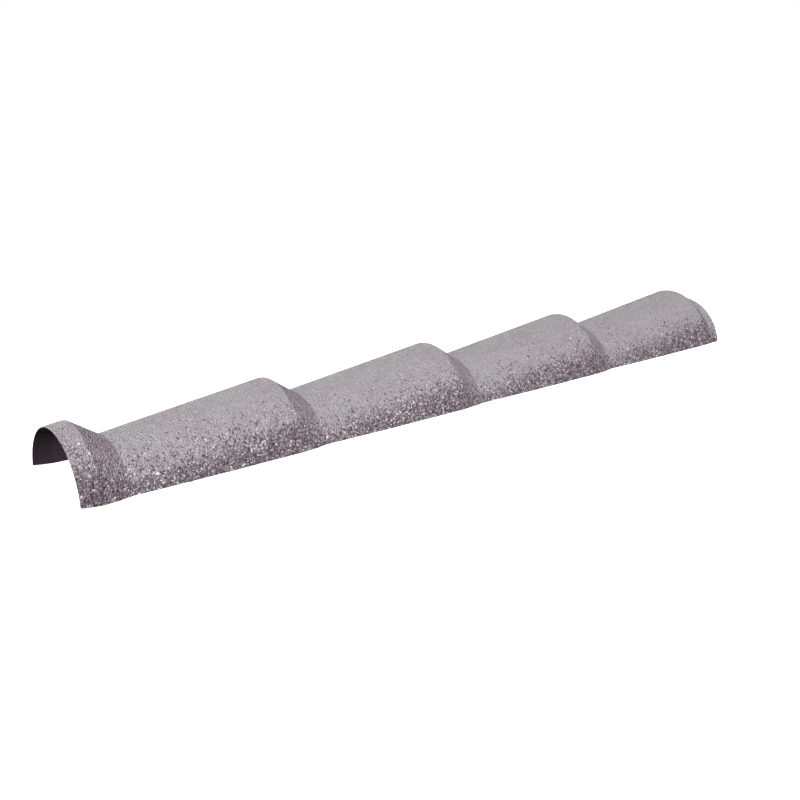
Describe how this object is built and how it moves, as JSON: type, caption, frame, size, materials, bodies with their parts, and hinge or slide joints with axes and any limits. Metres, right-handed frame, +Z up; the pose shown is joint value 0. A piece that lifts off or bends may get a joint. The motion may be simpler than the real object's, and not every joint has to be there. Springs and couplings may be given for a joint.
{
  "type": "roof edge trim",
  "caption": "Half-round roof edge trim pressed from stone-coated steel sheet, stepped along its length like lapped barrel tiles, open below and at both ends.",
  "frame": {"origin": "middle of the trim's length and width, at the level of its feet", "axes": "+X along the length from the front lip to the lap tail, +Y across, +Z up from the feet to the crown"},
  "size_m": [1.285, 0.1712, 0.0878],
  "materials": {
    "stone_chip_coat": "matt grey stone chips on pressed steel, dark primer inside"
  },
  "bodies": {
    "root": {"roof_edge_trim": "stone_chip_coat"}
  },
  "joints": []
}
